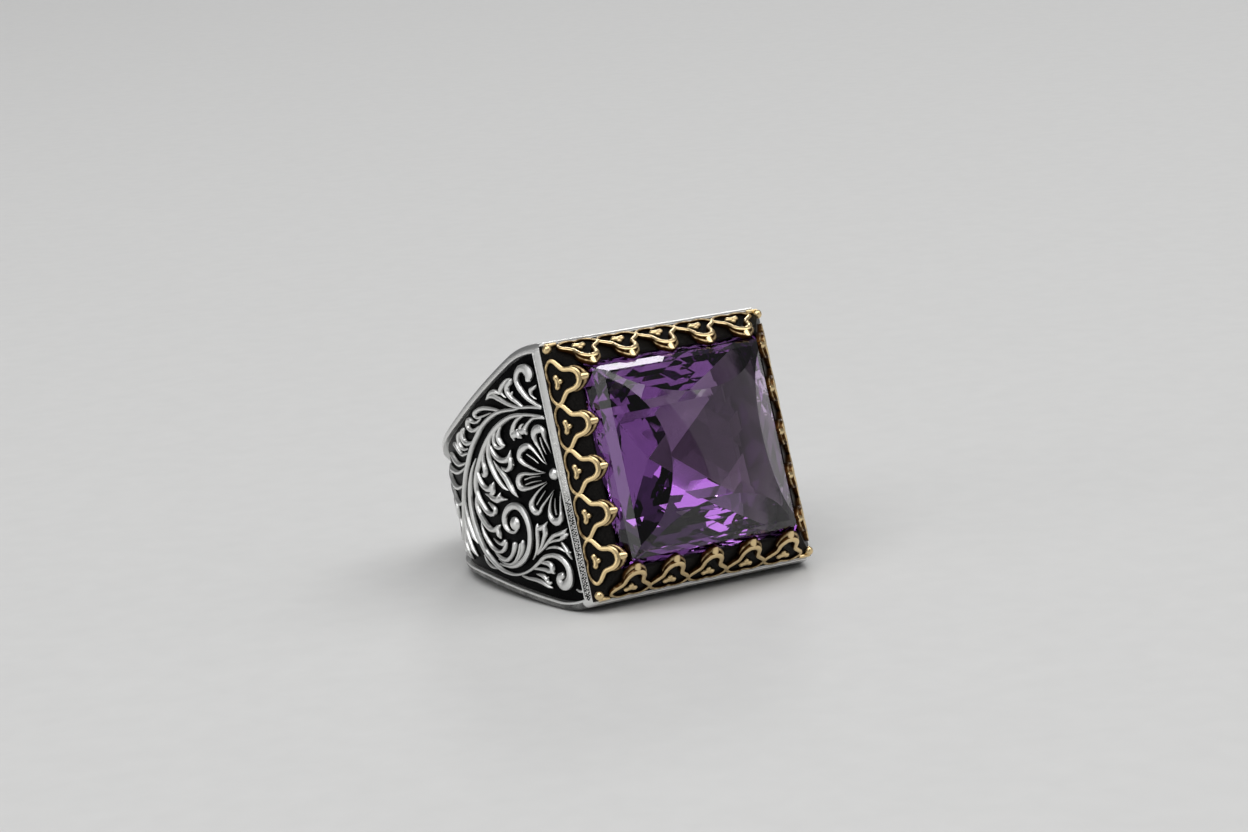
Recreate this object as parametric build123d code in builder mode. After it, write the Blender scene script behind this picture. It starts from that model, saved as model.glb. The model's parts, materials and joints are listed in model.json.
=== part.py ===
"""Cocktail ring: silver signet shank, brass heart gallery and a domed square amethyst.

Modelling frame (mm): origin at the centre of the finger bore, X across the head,
Y along the finger, Z out through the stone.  Each finished piece is then turned to the
pose in which the ring lies on a table, on the lower edges of its head and its palm.
"""

import os
from math import asin, atan2, cos, degrees, hypot, radians, sin, sqrt, tan

from build123d import *

# ---- Shank ---------------------------------------------------------------------------
bore_radius = 9.9
palm_wall = 1.6              # under the finger
side_wall = 2.6              # beside the finger
rim_height = 13.8            # bore centre to the rim plane
rim_ledge = 0.15             # the rim beyond the head's square, at its two ends along the finger
shoulder_height = 10.0       # where the straight taper meets the swell under the head
shoulder_draw = 0.25         # how far in from the rim's end it is there
waist_height = 0.1
waist_half = 6.37            # half length along the finger at the waist
waist_round = 30.0           # eases the taper there
palm_half = 3.5              # half length along the finger under the palm
# recessed field of each engraved shoulder
panel_depth = 0.45
panel_border = 0.7
panel_top_border = 0.75
panel_foot = -7.6            # height of the field's lower end
# opening under the stone
window_half = 5.0
window_corner = 1.6
window_skin = 0.3            # how far the opening's lower edge passes below the bore wall

# ---- Collar and bearing ----------------------------------------------------------------
collar_slope = 48.0          # degrees between its face and the rim plane
collar_height = 2.0
collar_lip = 0.2             # its flat top edge, round the stone
collar_inset = 0.05          # from the head's edge to the collar's foot
bearing_gap = 0.1            # collar wall to the stone's girdle
bearing_land = 0.1
setting_gap = 0.03           # round the stone where the bearing carries it

# ---- Stone; rises are above the rim plane --------------------------------------------------
stone_side = 16.2
girdle_rise = 1.45
girdle_thick = 0.3
step_inset = 0.45            # top of the steep first step, inside the girdle
step_rise = 3.0
facet_inset = 1.0            # foot of the four flat crown facets, inside the girdle
facet_rise = 3.83
facet_slope = 41.4
dome_rise = 6.91
dome_radius = 16.9
# under the girdle: a steep row, then two rows of paired facets, each turned off square
under_slope = 48.0
under_inset = 1.1            # foot of the steep row, inside the girdle
main_slope = 32.0
main_inset = 4.5
main_turn = 9.0
culet_slope = 21.0
culet_turn = 27.0

# ---- Brass gallery ---------------------------------------------------------------------------
wire = 0.3
gallery_thick = 0.36
hearts_per_side = 5
strip_end_gap = 1.3          # from the collar's corner to the end heart
heart_foot = 0.25            # from the collar's foot to the hearts' lower bends
heart_overhang = 0.26        # the hearts' tips beyond the top of the collar's face
lobe_drop = 0.14             # how far the lobes hang below the notch between them
cusp_lift = 0.52             # where neighbouring hearts join, above the lower bends
heart_waist = 1.4            # above the lower bends
claw_width = 0.72
claw_root = 0.32             # straight part of the claw, from the heart's tip
claw_thick = 0.56
claw_gap = 0.05              # from the claw's point to the stone
petal_length = 0.4           # from the trefoil's centre to the middle of a petal
petal_width = 0.34
trefoil_height = 1.0         # up the slope
trefoil_thick = 0.24
bead_radius = 0.38
bead_height = 0.62           # up the slope
bar_length = 0.8             # soldered bar that runs in beside each corner bead
bar_width = 0.3
bar_thick = 0.3
bar_height = 0.3             # up the slope
bar_reach = 0.48             # from the bead's centre to the bar's, along the side

# ---- Worked out ---------------------------------------------------------------------------------
band_radius = bore_radius + side_wall
band_centre = side_wall - palm_wall
palm_height = band_centre - band_radius
slope = radians(collar_slope)
stone_half = stone_side / 2
collar_bore_half = stone_half + bearing_gap
collar_half = collar_bore_half + collar_lip + collar_height / tan(slope)
collar_face = collar_height / sin(slope)
head_half = collar_half + collar_inset
rim_half = head_half + rim_ledge
shoulder_half = rim_half - shoulder_draw
reach = 2 * head_half        # longer than any cut through the ring
sides = {"right": 0, "top": 90, "left": 180, "bottom": 270}
heart_pitch = 2 * (collar_half - strip_end_gap) / hearts_per_side
heart_places = [(i - (hearts_per_side - 1) / 2) * heart_pitch for i in range(hearts_per_side)]


def side_view(border=0.0, top=rim_height, foot=palm_height - palm_wall):
    """The ring seen along X, as a sketch: half length along the finger at each height."""
    with BuildSketch() as view:
        with BuildLine():
            taper = Line((waist_half, waist_height), (shoulder_half, shoulder_height))
            swell = TangentArc(taper @ 1, (rim_half, rim_height), tangent=taper % 1)
            Line(swell @ 1, (0, rim_height))
            drop = Line(taper @ 0, (palm_half, palm_height))
            Polyline(drop @ 1, (palm_half, palm_height - palm_wall), (0, palm_height - palm_wall))
            mirror(about=Plane.YZ)
        make_face()
        waist = view.vertices().sort_by(lambda v: abs(v.Y - waist_height))[:2]
        fillet(waist, waist_round)
        if border:
            offset(amount=-border, mode=Mode.REPLACE)
        with BuildSketch(mode=Mode.PRIVATE) as slab:
            with Locations((0, (top + foot) / 2)):
                Rectangle(2 * reach, top - foot)
        add(slab.sketch, mode=Mode.INTERSECT)
    return view.sketch


def front_view(inset=0.0):
    """The ring's outline seen along the finger, as a sketch."""
    with BuildSketch() as view:
        with BuildLine():
            band = CenterArc((0, band_centre), band_radius, 0, -90)
            flare = TangentArc(band @ 0, (head_half, rim_height), tangent=(0, 1))
            Line(flare @ 1, (0, rim_height))
            mirror(about=Plane.YZ)
        make_face()
        if inset:
            offset(amount=-inset, mode=Mode.REPLACE)
    return view.sketch


def slope_plane(azimuth):
    """Plane of one side's collar face: X along the side, Y up the slope from its foot."""
    out = Vector(cos(radians(azimuth)), sin(radians(azimuth)), 0)
    along = Vector(-out.Y, out.X, 0)
    normal = out * sin(slope) + Vector(0, 0, cos(slope))
    return Plane(origin=out * collar_half + Vector(0, 0, rim_height), x_dir=along, z_dir=normal)


def facet_plane(azimuth, half, rise, tilt):
    """A stone facet's plane: it passes the given half width and rise, tilted from level."""
    lean = radians(abs(tilt))
    out = Vector(cos(radians(azimuth)), sin(radians(azimuth)), 0)
    normal = out * sin(lean) + Vector(0, 0, cos(lean) * (1 if tilt > 0 else -1))
    return Plane(origin=out * half + Vector(0, 0, rim_height + rise), z_dir=normal)


# ---- Shank ---------------------------------------------------------------------------------------
with BuildPart() as panel_cutter:
    with BuildSketch(Plane.XZ):
        add(front_view())
        add(front_view(inset=panel_depth), mode=Mode.SUBTRACT)
    extrude(amount=reach, both=True)
    with BuildSketch(Plane.YZ):
        add(side_view(border=panel_border, top=rim_height - panel_top_border, foot=panel_foot))
    extrude(amount=reach, both=True, mode=Mode.INTERSECT)

window_depth = rim_height - sqrt(bore_radius**2 - window_half**2) + window_skin
pocket_half = stone_half - girdle_rise / tan(radians(under_slope)) + setting_gap
window_taper = degrees(atan2(pocket_half - window_half, window_depth))

with BuildPart() as shank:
    with BuildSketch(Plane.XZ):
        add(front_view())
        Circle(bore_radius, mode=Mode.SUBTRACT)
    extrude(amount=reach, both=True)
    with BuildSketch(Plane.YZ):
        add(side_view())
    extrude(amount=reach, both=True, mode=Mode.INTERSECT)
    add(panel_cutter.part, mode=Mode.SUBTRACT)
    with BuildSketch(Plane.XY.offset(rim_height)):
        Rectangle(2 * pocket_half, 2 * pocket_half)
        chamfer(vertices(), window_corner)
    extrude(amount=-window_depth, taper=window_taper, mode=Mode.SUBTRACT)

# ---- Collar: sloping frame that carries the gallery and closes round the stone ----------------------
with BuildPart() as bezel_collar:
    with BuildSketch(Plane.XY.offset(rim_height)):
        Rectangle(2 * collar_half, 2 * collar_half)
    extrude(amount=collar_height, taper=90 - collar_slope)
    with BuildSketch(Plane.XY.offset(rim_height)):
        Rectangle(2 * collar_bore_half, 2 * collar_bore_half)
    extrude(amount=collar_height, mode=Mode.SUBTRACT)

# ---- Bearing: wedge-section frame inside the collar, under the stone's girdle ------------------------
with BuildPart() as stone_bearing:
    with BuildSketch(Plane.XY.offset(rim_height)):
        Rectangle(2 * collar_bore_half, 2 * collar_bore_half)
    extrude(amount=girdle_rise - setting_gap)
    with BuildSketch(Plane.XY.offset(rim_height)):
        Rectangle(2 * pocket_half, 2 * pocket_half)
    with BuildSketch(Plane.XY.offset(rim_height + girdle_rise - setting_gap)):
        seat = 2 * (collar_bore_half - bearing_land)
        Rectangle(seat, seat)
    loft(mode=Mode.SUBTRACT)

# ---- Stone: facets cut one by one, the domed top turned last -----------------------------------------
step_half = stone_half - step_inset
facet_half = stone_half - facet_inset
girdle_top = girdle_rise + girdle_thick
crown_rows = (
    (stone_half, girdle_top, step_half, step_rise),
    (step_half, step_rise, facet_half, facet_rise),
)
pavilion_rows = (            # slope, half width at the row's foot, how far its planes turn
    (under_slope, stone_half - under_inset, 0),
    (main_slope, stone_half - main_inset, main_turn),
    (culet_slope, 0, culet_turn),
)

with BuildPart() as stone:
    with BuildSketch(Plane.XY.offset(rim_height - reach / 2)):
        Rectangle(stone_side, stone_side)
    extrude(amount=reach)
    for low_half, low_rise, high_half, high_rise in crown_rows:
        tilt = degrees(atan2(high_rise - low_rise, low_half - high_half))
        for azimuth in sides.values():
            split(bisect_by=facet_plane(azimuth, low_half, low_rise, tilt), keep=Keep.BOTTOM)
    for azimuth in sides.values():
        split(bisect_by=facet_plane(azimuth, facet_half, facet_rise, facet_slope), keep=Keep.BOTTOM)
    row_half, row_rise = stone_half, girdle_rise
    for tilt, foot_half, turn in pavilion_rows:
        for azimuth in sides.values():
            for way in sorted({-turn, turn}):
                cut = facet_plane(azimuth + way, row_half, row_rise, -tilt)
                split(bisect_by=cut, keep=Keep.BOTTOM)
        row_rise -= (row_half - foot_half) * tan(radians(tilt))
        row_half = foot_half
    with Locations((0, 0, rim_height + dome_rise - dome_radius)):
        Sphere(dome_radius, rotation=(90, 0, 0), mode=Mode.INTERSECT)

# ---- Heart gallery: one openwork strip of brass on each side, with its claws --------------------------
heart_half = heart_pitch / 2
tip_height = collar_face + heart_overhang

with BuildSketch() as heart:
    with BuildLine():
        notch = (0, heart_foot + lobe_drop)
        cusp = (heart_half, heart_foot + cusp_lift)
        waist = (0.49 * heart_half, heart_foot + heart_waist)
        tip_bend = (0.36 * heart_half, waist[1] + 0.75 * (tip_height - waist[1]))
        ThreePointArc(notch, (0.55 * heart_half, heart_foot), cusp)
        Line(cusp, waist)
        ThreePointArc(waist, tip_bend, (0, tip_height))
        mirror(about=Plane.YZ)
    make_face()

with BuildSketch() as heart_wire:
    offset(heart.sketch, amount=wire / 2, kind=Kind.INTERSECTION)
    offset(heart.sketch, amount=-wire / 2, kind=Kind.INTERSECTION, mode=Mode.SUBTRACT)

# a claw runs from the heart's tip to where the collar's slope meets the stone's first step
step_lean = step_inset / (step_rise - girdle_top)
meeting = (collar_half - stone_half - step_lean * girdle_top) / (cos(slope) - step_lean * sin(slope))

with BuildSketch() as claw:
    with BuildLine():
        root = (claw_width / 2, tip_height)
        shoulder = (claw_width / 2, tip_height + claw_root)
        point = (0, meeting - claw_gap)
        bevel = (0.6 * claw_width / 2, point[1] - claw_width / 8)
        Polyline((0, tip_height), root, shoulder, bevel, point)
        mirror(about=Plane.YZ)
    make_face()

crown_strips = {}
for side, azimuth in sides.items():
    with BuildPart() as crown_strip:
        with BuildSketch(slope_plane(azimuth)):
            with Locations(*[(place, 0) for place in heart_places]):
                add(heart_wire.sketch)
        extrude(amount=gallery_thick)
        with BuildSketch(slope_plane(azimuth)):
            with Locations(*[(place, 0) for place in heart_places]):
                add(claw.sketch)
        extrude(amount=claw_thick)
    crown_strips[side] = crown_strip

# ---- Trefoils: a small one stands in each heart, one petal towards the heart's tip --------------------
with BuildSketch() as trefoil:
    with Locations((0, trefoil_height)):
        with PolarLocations(petal_length, 3, start_angle=90):
            RegularPolygon(petal_width / 2, 5, major_radius=False)
        RegularPolygon(petal_length, 3, rotation=90)

with BuildPart() as trefoil_studs:
    for azimuth in sides.values():
        with BuildSketch(slope_plane(azimuth)):
            with Locations(*[(place, 0) for place in heart_places]):
                add(trefoil.sketch)
        extrude(amount=trefoil_thick)

# ---- Beads soldered on the hips at the head's corners, each with a bar beside it -----------------------
hip_half = collar_half - bead_height * cos(slope)
bead_rise = rim_height + bead_height * sin(slope)
bar_place = hip_half - bar_reach

with BuildPart() as corner_beads:
    with Locations(Plane.XY.offset(bead_rise)):
        with GridLocations(2 * hip_half, 2 * hip_half, 2, 2):
            Sphere(bead_radius)
    with BuildSketch(Plane.XY.offset(rim_height)):
        Rectangle(2 * collar_half, 2 * collar_half)
    extrude(amount=collar_height, taper=90 - collar_slope, mode=Mode.SUBTRACT)
    for side in ("top", "bottom"):
        with BuildSketch(slope_plane(sides[side])):
            with Locations((-bar_place, bar_height), (bar_place, bar_height)):
                Rectangle(bar_length, bar_width)
            chamfer(vertices(), bar_width / 3)
        extrude(amount=bar_thick)

# ---- The pose at rest: a line touches the head's swell and the palm's lower edge -----------------------
outline = side_view().edges().filter_by(GeomType.CIRCLE)
swell_edge = outline.sort_by(Axis.Y)[-1]
swell_centre, swell_radius = swell_edge.arc_center, swell_edge.radius
run = Vector(abs(swell_centre.X) - palm_half, swell_centre.Y - palm_height)
rest_tilt = degrees(atan2(run.X, run.Y) + asin(swell_radius / hypot(run.X, run.Y)))
rest = Location((0, 0, 0), (90 - rest_tilt, 0, 0))

pieces = {
    "shank": shank,
    "bezel_collar": bezel_collar,
    "stone_bearing": stone_bearing,
    "stone": stone,
    "trefoil_studs": trefoil_studs,
    "corner_beads": corner_beads,
}
pieces |= {f"crown_strip_{side}": strip for side, strip in crown_strips.items()}

os.makedirs("parts", exist_ok=True)
for name, piece in pieces.items():
    placed = rest * piece.part
    placed.label = name
    export_step(placed, f"parts/{name}.step")
print("finger axis leans", round(rest_tilt, 6), "degrees at rest")
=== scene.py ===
"""Cocktail ring: silver signet shank, brass heart gallery and a domed square amethyst.

The pieces are modelled in millimetres in the ring's own frame: X across the head, Y along
the finger, Z out through the stone, origin at the centre of the finger bore.  Each one is
then turned with its mesh to the pose in which the ring lies on a table.
"""

import json
import math
import random

import bmesh
import bpy
from bpy.props import FloatProperty, FloatVectorProperty, IntProperty, PointerProperty
from mathutils import Matrix, Vector


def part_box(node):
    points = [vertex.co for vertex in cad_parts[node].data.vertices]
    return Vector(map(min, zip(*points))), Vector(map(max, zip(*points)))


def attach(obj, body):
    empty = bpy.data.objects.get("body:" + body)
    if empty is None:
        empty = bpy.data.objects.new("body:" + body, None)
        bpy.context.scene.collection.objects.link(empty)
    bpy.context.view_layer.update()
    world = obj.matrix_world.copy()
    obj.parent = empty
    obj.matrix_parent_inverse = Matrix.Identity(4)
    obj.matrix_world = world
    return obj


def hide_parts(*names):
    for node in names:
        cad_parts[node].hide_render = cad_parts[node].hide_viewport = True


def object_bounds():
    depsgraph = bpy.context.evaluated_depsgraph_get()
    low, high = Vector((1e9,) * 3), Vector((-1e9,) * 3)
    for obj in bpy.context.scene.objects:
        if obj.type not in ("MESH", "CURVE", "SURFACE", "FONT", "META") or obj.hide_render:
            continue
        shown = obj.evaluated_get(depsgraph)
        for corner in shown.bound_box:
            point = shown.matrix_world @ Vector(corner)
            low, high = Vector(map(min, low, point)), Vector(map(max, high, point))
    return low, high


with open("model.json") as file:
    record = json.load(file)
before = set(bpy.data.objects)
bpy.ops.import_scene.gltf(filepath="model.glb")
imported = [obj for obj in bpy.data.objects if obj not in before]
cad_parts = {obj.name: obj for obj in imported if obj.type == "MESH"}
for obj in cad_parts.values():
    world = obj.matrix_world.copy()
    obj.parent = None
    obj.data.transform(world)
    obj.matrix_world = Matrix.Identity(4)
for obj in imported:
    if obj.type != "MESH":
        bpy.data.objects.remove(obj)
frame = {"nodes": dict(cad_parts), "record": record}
cad_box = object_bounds()

bl_info = {
    "name": "Cocktail Ring",
    "version": (1, 0, 0),
    "blender": (4, 5, 0),
    "location": "View3D > Sidebar > Ring",
    "description": "Builds the detailed pieces of a silver cocktail ring on its frame",
    "category": "Add Mesh",
}

MM = 0.001

# ---- Sizes shared with the frame, in millimetres ----
BAND_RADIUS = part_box("shank")[1].x / MM
COLLAR_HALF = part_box("bezel_collar")[1].x / MM
STONE_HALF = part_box("stone")[1].x / MM
BAND_CENTRE = 1.0            # height of the band's axis above the bore's
RIM_HEIGHT = 13.8            # from the bore's axis to the plane of the rim
HEAD_HALF = COLLAR_HALF + .05
BORE_RADIUS = 9.9
WINDOW_HALF = 7.3            # the opening behind the stone, with its softened edge
PANEL_DEPTH = .45            # of the sunk field on each shoulder
SLOPE = math.radians(48)     # of the collar, from level
HEART_SHIFTS = [3.5603 * i for i in (-2, -1, 0, 1, 2)]
SUNK = -.03                  # how far a raised ornament's underside lies in the metal
SIDES = {"right": 0, "top": 90, "left": 180, "bottom": 270}

# The head's ends are flared: an arc that meets the band tangentially at its widest
FLARE_DROP = RIM_HEIGHT - BAND_CENTRE
FLARE_SPREAD = BAND_RADIUS - HEAD_HALF
FLARE_RADIUS = (FLARE_SPREAD**2 + FLARE_DROP**2) / (2 * FLARE_SPREAD)
FLARE_ANGLE = math.asin(FLARE_DROP / FLARE_RADIUS)
FLARE_LENGTH = FLARE_RADIUS * FLARE_ANGLE


def rest_pose():
    """From the ring's own frame, in millimetres, to the pose at rest, in metres."""
    axis = frame["record"]["mounts"][0]["axis"]
    turn = Matrix.Rotation(math.atan2(axis[2], axis[1]), 4, "X")
    return turn @ Matrix.Scale(MM, 4)


REST = rest_pose()


def on_shoulder(side):
    """Gives the placing of (down from the rim, along the finger, rise) on a shoulder."""

    def place(down, along, rise):
        if down <= FLARE_LENGTH:
            angle = FLARE_ANGLE - down / FLARE_RADIUS
            centre, radius = BAND_RADIUS - FLARE_RADIUS, FLARE_RADIUS
        else:
            angle = (FLARE_LENGTH - down) / BAND_RADIUS
            centre, radius = 0, BAND_RADIUS
        across = centre + (radius + rise) * math.cos(angle)
        return Vector((side * across, along, BAND_CENTRE + (radius + rise) * math.sin(angle)))

    return place


def on_flank(side):
    """Gives the placing of (out from the head, along it, rise) on one of its plain flanks."""

    def place(out, along, rise):
        return Vector((along, side * (HEAD_HALF + out), RIM_HEIGHT + rise))

    return place


def on_slope(azimuth):
    """Gives the placing of (along the side, up the slope, rise) on the collar's face."""
    out = Vector((math.cos(math.radians(azimuth)), math.sin(math.radians(azimuth)), 0))
    along = Vector((-out.y, out.x, 0))
    normal = out * math.sin(SLOPE) + Vector((0, 0, math.cos(SLOPE)))
    up = normal.cross(along)
    foot = out * COLLAR_HALF + Vector((0, 0, RIM_HEIGHT))

    def place(x, y, rise):
        return foot + along * x + up * y + normal * rise

    return place


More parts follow.
